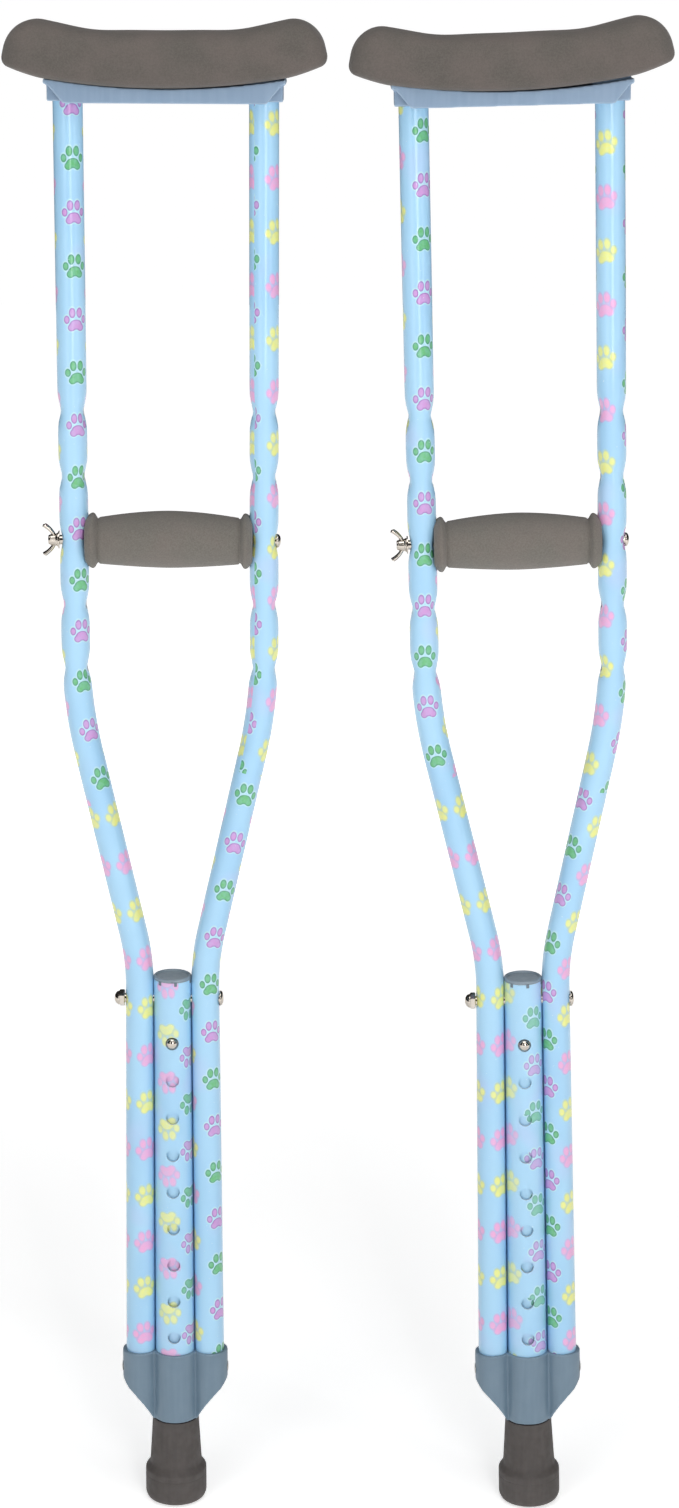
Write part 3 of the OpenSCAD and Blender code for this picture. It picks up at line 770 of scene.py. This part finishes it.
def centre_cap(side):
    """Slate plastic cap with a low rim and a shallow dish."""
    z0, z1 = low("left_centre_tube_cap").z, high("left_centre_tube_cap").z
    rim_z = high("left_centre_tube").z
    plug_r = CENTRE_R - TUBE_WALL - 0.1
    rim_r = CENTRE_R + 0.1
    plug = [(0, z0), (plug_r, z0), (plug_r, rim_z + 0.05)]
    rim = [(rim_r, rim_z + 0.05), (rim_r, z1 - 0.7), (CENTRE_R - 0.6, z1), (CENTRE_R - 1.6, z1 - 0.2)]
    dish = [(CENTRE_R - 2.4, z1 - 1.2), (0, z1 - 0.8)]
    parts = [lathe(eased(plug + rim + dish, 0.4))]
    for angle in (-38, 12, 72):                       # the small tabs that hook over the tube's rim
        tab = loft([[(x, y, z) for x, y in ((-0.9, 0.1), (-0.9, -0.4), (0.9, -0.4), (0.9, 0.1))]
                    for z in (rim_z - 2.0, rim_z + 0.6)])
        tab.transform(Matrix.Rotation(math.radians(angle), 4, "Z") @ Matrix.Translation((0, -CENTRE_R, 0)))
        parts.append(tab)
    obj = stood(f"{side}_centre_tube_cap_plastic", merged(*parts))
    obj.data.materials.append(MATERIALS["cap_plastic"])
    settle(obj, side, "frame", ["centre_tube_cap"])


# ---------------------------------------------------------------- moulded parts

def softened(side, node, name, material, voxel_mm, smoothing, body="frame"):
    """A copy of a CAD node with its edges eased, as a mould leaves them."""
    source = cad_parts[f"{side}_{node}"]
    obj = bpy.data.objects.new(f"{side}_{name}", source.data.copy())
    scene.collection.objects.link(obj)
    obj.data.materials.clear()
    obj.data.materials.append(MATERIALS[material])
    remesh = obj.modifiers.new("remesh", "REMESH")
    remesh.mode = "VOXEL"
    remesh.voxel_size = voxel_mm / MM
    remesh.use_smooth_shade = True
    relax = obj.modifiers.new("relax", "SMOOTH")
    relax.factor = 0.5
    relax.iterations = smoothing
    applied(obj)
    for face in obj.data.polygons:
        face.material_index = 0
    return settle(obj, side, body, [node], angle=60, local=False)


def rubber_tip(side):
    """Ferrule: a tapered neck, a wider ring, and rings of tread under the sole."""
    top_z = high("left_rubber_tip").z
    ring_r = high("left_rubber_tip").x
    bore_z = low("left_tip_washer").z
    groove = 1.2                                      # depth of the tread
    tread = [(0, groove)]
    for rib_r in (3.5, 7.5, 11.5):
        tread += [(rib_r - 1.2, groove), (rib_r - 0.8, 0), (rib_r + 1.4, 0), (rib_r + 1.8, groove)]
    tread += [(14.6, groove), (14.8, 0)]
    ring = [(ring_r - 4.2, 0), (ring_r - 1.3, 1.3), (ring_r - 0.1, 4.2), (ring_r - 0.1, 17.0)]
    ring += [(ring_r - 0.35, 17.5), (ring_r - 0.1, 18.0), (ring_r - 0.15, 21.6)]
    neck = [(17.3, 25.4), (16.9, 28), (15.2, top_z - 1), (14.9, top_z)]
    bore = [(LEG_R + 0.05, top_z), (LEG_R + 0.05, bore_z), (0, bore_z)]
    outline = eased(tread, 0.15, 1) + eased(ring + neck, 0.9) + eased(bore, 0.4)
    obj = stood(f"{side}_rubber_tip_moulded", lathe(outline, steps=96))
    obj.data.materials.append(MATERIALS["tip_rubber"])
    settle(obj, side, "leg", ["rubber_tip"])


# ---------------------------------------------------------------- foam

PAD_SLANT = {"left": 0.35, "right": 0.9}              # degrees a pad sits askew on its saddle, right end up


def underarm_pad(side):
    """The moulded foam pad: a thick strip that follows the saddle's arc and rises in two horns."""
    under_z = 918.6                                # its lowest point, on the saddle
    arc_r = 440
    thick = 33.2
    reach = 94.9                                   # along the arc, from the middle to an end
    half_depth = 23
    top_corner, low_corner, plan_corner = 19.0, 4.5, 11.0

    def rounding(s, corner):
        """How far a rounded corner draws the outline in, at s along the arc."""
        over = max(0.0, abs(s) - (reach - corner))
        return corner - math.sqrt(max(0.0, corner ** 2 - over ** 2))

    half_rings, around = 56, 48
    places = [reach * math.sin(math.radians(90) * k / half_rings) for k in range(-half_rings, half_rings + 1)]
    rings = []
    for s in places:
        turn = s / (arc_r - thick / 2)
        hollow = 1.7 * math.exp(-((abs(s) - 45) / 19) ** 2)
        lifted_end = 3.6 * max(0.0, (abs(s) - 70) / 25) ** 1.4
        top = thick - hollow - rounding(s, top_corner)
        base = rounding(s, low_corner) + lifted_end
        depth = half_depth - rounding(s, plan_corner)
        ring = []
        for k in range(around):
            a = math.radians(360 * k / around)
            squareness = 0.5 if math.sin(a) > 0 else 0.3
            y = depth * math.copysign(abs(math.cos(a)) ** squareness, math.cos(a))
            lift = math.copysign(abs(math.sin(a)) ** squareness, math.sin(a))
            radial = arc_r - (top + base) / 2 - (top - base) / 2 * lift
            ring.append((radial * math.sin(turn), y, under_z + arc_r - radial * math.cos(turn)))
        rings.append(ring)
    bm = loft(rings)
    seat = Vector((0, 0, under_z))
    bm.transform(Matrix.Translation(seat) @ Matrix.Rotation(-math.radians(PAD_SLANT[side]), 4, "Y")
                 @ Matrix.Translation(-seat))
    obj = stood(f"{side}_underarm_pad_foam", bm)
    obj.data.materials.append(MATERIALS["pad_foam"])
    settle(obj, side, "frame", ["underarm_pad"], angle=70)


def handgrip(side):
    """The foam sleeve: a barrel with a bead at each end, hollowed to sit against the bow tubes."""
    reach = (high("left_handgrip_sleeve").x - low("left_handgrip_sleeve").x) / 2
    core_r = high("left_handgrip_core").y + 0.1
    waist = 42                                        # from the middle to the neck beside a bead
    bead = [(core_r, reach), (13.2, reach), (14.8, reach - 0.9), (16.7, reach - 3.1), (17.3, reach - 4.7)]
    bead += [(16.5, reach - 5.9), (14.2, reach - 7.2), (13.4, reach - 7.9), (14.4, reach - 8.8)]
    bead = eased(bead, 0.8)
    barrel = [(17.6 - 3.1 * abs(x / waist) ** 1.7, x) for x in range(40, -41, -4)]
    far_bead = [Vector((r, -x)) for r, x in bead[::-1]]
    bm = lathe(bead + barrel + far_bead, 80, joined=True, turned=along_x(0, GRIP_Z))
    for vert in bm.verts:                             # its upper line is fuller than its lower one
        if (vert.co - Vector((vert.co.x, 0, GRIP_Z))).length > core_r + 0.5:
            vert.co.z += 0.9 * max(0.0, 1 - (vert.co.x / waist) ** 2) - 0.3
    obj = stood(f"{side}_handgrip_sleeve_foam", bm)
    obj.data.materials.append(MATERIALS["grip_foam"])
    channels = []
    for sign in (-1, 1):
        rings = []
        for rise in range(-24, 25, 6):
            bend_room = max(0.0, 10 - rise) ** 2 / (2 * UPPER_BEND_R)   # for the lowest setting
            outline = list(arc(sign * (BOW_HALF - bend_room), 0, BOW_R + 0.5, 0, 360, 64))[:-1]
            rings.append([(x, y, GRIP_Z + rise) for x, y in outline])
        channels.append(loft(rings))
    cut_by(obj, merged(*channels))
    settle(obj, side, "handgrip", ["handgrip_sleeve"], angle=50)


# ---------------------------------------------------------------- hardware

def dome(radius, base, rise, step=9):
    """Outline of a dome, from its edge at base nearly to its top at base + rise."""
    for angle in range(0, 90, step):
        turn = math.radians(angle)
        yield (radius * math.cos(turn), base + rise * math.sin(turn))


def bolt(side, node, body, head_r, head_h, sunk):
    """A through bolt along X with its domed head on the right, sunk into the tube by this much."""
    x0, x1 = low(f"left_{node}").x, high(f"left_{node}").x
    z = middle(f"left_{node}").z
    seat_x = x1 - head_h - sunk
    shank = seat_x - x0
    shank_r = 3.0
    outline = [(0, -shank), (shank_r - 0.4, -shank), (shank_r, -shank + 0.5), (shank_r, 0), (head_r - 0.2, 0)]
    outline += dome(head_r, 0.5, head_h - 0.5, step=10)
    outline.append((0, head_h))
    obj = stood(f"{side}_{node}_steel", lathe(outline, 48, turned=along_x(seat_x, z)))
    obj.data.materials.append(MATERIALS["bright_steel"])
    settle(obj, side, body, [node])


def rivets(side):
    """Blind rivets of the bracket: a low dome outside and an upset tail in the tube."""
    face_x, tail_x = high("left_y_bracket").x - 0.1, BUNDLE_HALF
    grip = face_x - tail_x
    tail = [(0, -grip), (2.6, -grip), (2.8, -grip + 1.4), (2.0, -grip + 1.8)]
    head = [(2.0, 0), (3.3, 0), (3.2, 0.3), (2.2, 0.55), (0, 0.65)]
    parts = [lathe(tail + head, 32, turned=along_x(sign * face_x, RIVET_Z, sign)) for sign in (-1, 1)]
    obj = stood(f"{side}_bracket_rivets_domed", merged(*parts))
    obj.data.materials.append(MATERIALS["aluminium_rivet"])
    settle(obj, side, "frame", ["bracket_rivets"])


def hexagon(flat_r, thick):
    """A hexagonal nut's body with its corners eased."""
    side_line = [(flat_r - 0.5, 0), (flat_r, 0.4), (flat_r, thick - 0.4), (flat_r - 0.6, thick)]
    return lathe([(0, 0)] + side_line + [(0, thick)], 6)


def cross_nut(side):
    """Acorn nut: a hexagon with a closed dome."""
    x = high("left_cross_nut").x
    outline = [(0, 3.0), (4.7, 3.0)] + list(dome(4.6, 3.2, 3.7)) + [(0, 6.9)]
    bm = merged(hexagon(5.6, 3.4), lathe(outline, 48))
    bm.transform(along_x(x, CROSS_Z, -1))
    obj = stood(f"{side}_cross_nut_steel", bm)
    obj.data.materials.append(MATERIALS["bright_steel"])
    settle(obj, side, "frame", ["cross_nut"])


def wing_nut(side):
    """A tapered hub with two curved ears that flare out and away from the tube."""
    base_x = high("left_wing_nut").x
    hub_line = [(0, 0), (4.5, 0), (4.3, 0.9), (3.7, 1.4), (3.3, 5.0), (2.9, 5.6), (0, 5.6)]
    parts = [lathe(eased(hub_line, 0.4), 40)]
    ear = 10.4                                        # length of an ear
    count, around = 14, 20
    for sign in (-1, 1):
        rings = []
        for k in range(count + 1):
            share = k / count
            lean = math.radians(66 - 20 * share)      # from the hub's axis
            spine = Vector((2.0 + ear * share * math.sin(lean), 0, 2.2 + ear * share * math.cos(lean)))
            end = math.sqrt(max(0.0, 1 - max(0.0, (share - 0.9) / 0.1) ** 2))
            width = (1.1 + 0.55 * share) * max(end, 0.05)
            thick = (1.3 + 0.9 * share) * max(end, 0.1)
            across = Vector((math.cos(lean), 0, -math.sin(lean)))
            ring = []
            for j in range(around):
                a = math.radians(360 * j / around)
                spot = spine + across * width * math.cos(a) + Vector((0, thick * math.sin(a), 0))
                ring.append((sign * spot.x, spot.y, spot.z))
            rings.append(ring)
        parts.append(loft(rings))
    bm = merged(*parts)
    bm.transform(along_x(base_x, GRIP_Z, -1))
    obj = stood(f"{side}_wing_nut_steel", bm)
    obj.data.materials.append(MATERIALS["bright_steel"])
    settle(obj, side, "wing_nut", ["wing_nut"], angle=40)


def snap_button(side):
    """Chromed button with a round dome and a flange inside the leg."""
    back_y = high("left_snap_button").y
    front_y = low("left_snap_button").y
    length = back_y - front_y
    button_r = 3.5
    dome_h = 2.6
    flange_r, flange_h = 4.7, 1.2
    outline = [(0, 0), (flange_r, 0), (flange_r, flange_h), (button_r, flange_h)]
    outline += dome(button_r, length - dome_h, dome_h)
    outline.append((0, length))
    obj = stood(f"{side}_snap_button_chrome", lathe(outline, 48, turned=to_front(back_y, BUTTON_Z)))
    obj.data.materials.append(MATERIALS["bright_steel"])
    settle(obj, side, "snap_button", ["snap_button"])


KEPT_NODES = {
    "leg_bushing": "white_nylon",
    "leg_glide": "white_nylon",
    "saddle_pins": "spring_steel",
    "snap_spring": "spring_steel",
    "tip_washer": "spring_steel",
    "handgrip_core": "black_plastic",
    "grip_washer": "bright_steel",
}


def finish_cad_nodes(side):
    """Gives the CAD nodes that stay in view, or inside, their procedural materials."""
    for node, material in KEPT_NODES.items():
        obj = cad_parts[f"{side}_{node}"]
        for place in obj.material_slots:
            place.material = MATERIALS[material]


for side in SIDES:
    for which in ("nut_side", "head_side"):
        bow_tube(side, which)
    centre_tube(side)
    leg_tube(side)
    centre_cap(side)
    softened(side, "y_bracket", "y_bracket_moulded", "bracket_plastic", 0.75, 4)
    rivets(side)
    softened(side, "saddle_bracket", "saddle_bracket_moulded", "saddle_plastic", 0.8, 3)
    rubber_tip(side)
    underarm_pad(side)
    handgrip(side)
    bolt(side, "grip_bolt", "handgrip", head_r=4.4, head_h=2.8, sunk=1.2)
    bolt(side, "cross_bolt", "frame", head_r=5.0, head_h=2.6, sunk=0.3)
    cross_nut(side)
    wing_nut(side)
    snap_button(side)
    finish_cad_nodes(side)


# ---------------------------------------------------------------- studio

def floor():
    """A wide pale floor that turns to the backdrop's white away from the crutches."""
    bm = bmesh.new()
    bmesh.ops.create_circle(bm, cap_ends=True, segments=96, radius=7.0)
    obj = stood("studio_floor", bm)
    centre = (cad_low + cad_high) / 2
    obj.location = (centre.x, centre.y, cad_low.z - 0.0003)
    material, s, surface = new_material("floor_paint")
    s.feed(surface.inputs["Base Color"], s.mix(s.noise(400, 2), srgb(246, 246, 246), srgb(250, 250, 250)))
    surface.inputs["Roughness"].default_value = 0.9
    surface.inputs["Specular IOR Level"].default_value = 0.1
    split = s.node("SeparateXYZ")
    s.feed(split.inputs[0], s.place())
    radial = s.math("SQRT", s.math("MULTIPLY_ADD", split.outputs["X"], split.outputs["X"],
                                   s.math("MULTIPLY", split.outputs["Y"], split.outputs["Y"])))
    glow = s.ramp(radial, 0.4, 1.8, 0.6, 1.0)         # weaker near the crutches, to keep their shadows
    s.feed(surface.inputs["Emission Color"], (1.0, 1.0, 1.0, 1.0))
    s.feed(surface.inputs["Emission Strength"], glow)
    obj.data.materials.append(material)


def backdrop():
    """A white shell seen only by the camera, so that it lights nothing."""
    bm = bmesh.new()
    bmesh.ops.create_uvsphere(bm, u_segments=48, v_segments=24, radius=16.0)
    obj = stood("studio_backdrop", bm)
    material, s, surface = new_material("backdrop_white")
    surface.inputs["Base Color"].default_value = (0, 0, 0, 1)
    surface.inputs["Emission Color"].default_value = (1, 1, 1, 1)
    surface.inputs["Emission Strength"].default_value = 1.0
    obj.data.materials.append(material)
    for rays in ("diffuse", "glossy", "transmission", "shadow", "volume_scatter"):
        setattr(obj, f"visible_{rays}", False)


def soft_light(name, place, target, width, height, watts):
    """A rectangular softbox that faces a point."""
    data = bpy.data.lights.new(name, "AREA")
    data.shape = "RECTANGLE"
    data.size = width
    data.size_y = height
    data.energy = watts
    obj = bpy.data.objects.new(name, data)
    scene.collection.objects.link(obj)
    obj.location = place
    obj.rotation_mode = "QUATERNION"
    obj.rotation_quaternion = (Vector(target) - Vector(place)).to_track_quat("-Z", "Y")


def studio():
    """The floor, the backdrop, the soft white air and the softboxes."""
    floor()
    backdrop()
    world = bpy.data.worlds.new("studio_air")
    scene.world = world
    world.use_nodes = True
    air = world.node_tree.nodes["Background"]
    s = Shader(world.node_tree)
    split = s.node("SeparateXYZ")
    s.feed(split.inputs[0], s.node("TexCoord").outputs["Generated"])
    s.feed(air.inputs["Strength"], s.ramp(split.outputs["Z"], -0.1, 0.7, 0.2, 0.68))
    middle_point = (cad_low + cad_high) / 2
    soft_light("key_softbox", (0.75, -2.3, 1.3), middle_point, 0.5, 1.9, 13)
    soft_light("strip_front", (0.55, -2.35, 1.1), middle_point, 0.1, 1.9, 5)
    soft_light("strip_side", (1.9, -1.4, 1.1), middle_point, 0.12, 1.9, 4)
    soft_light("fill_softbox", (-1.2, -2.2, 1.1), middle_point, 1.0, 1.9, 8)
    soft_light("rear_softbox", (middle_point.x, 2.4, 1.3), middle_point, 1.6, 1.6, 4)
    soft_light("top_softbox", (middle_point.x, -0.7, 2.6), middle_point, 2.2, 1.6, 28)
    scene.view_settings.view_transform = "Standard"


def camera():
    """Seen from the front and a little above, as a long lens sees it."""
    data = bpy.data.cameras.new("camera")
    data.lens, data.sensor_width = 75.75, 36
    data.clip_start, data.clip_end = 0.05, 60
    obj = bpy.data.objects.new("camera", data)
    scene.collection.objects.link(obj)
    place = Matrix.Translation((0.1057, -1.925, 1.008))
    pitch = Matrix.Rotation(math.radians(90 - 14.5), 4, "X")
    roll = Matrix.Rotation(math.radians(0.35), 4, "Z")
    obj.matrix_world = place @ pitch @ roll
    scene.camera = obj


studio()
camera()
bpy.context.view_layer.update()
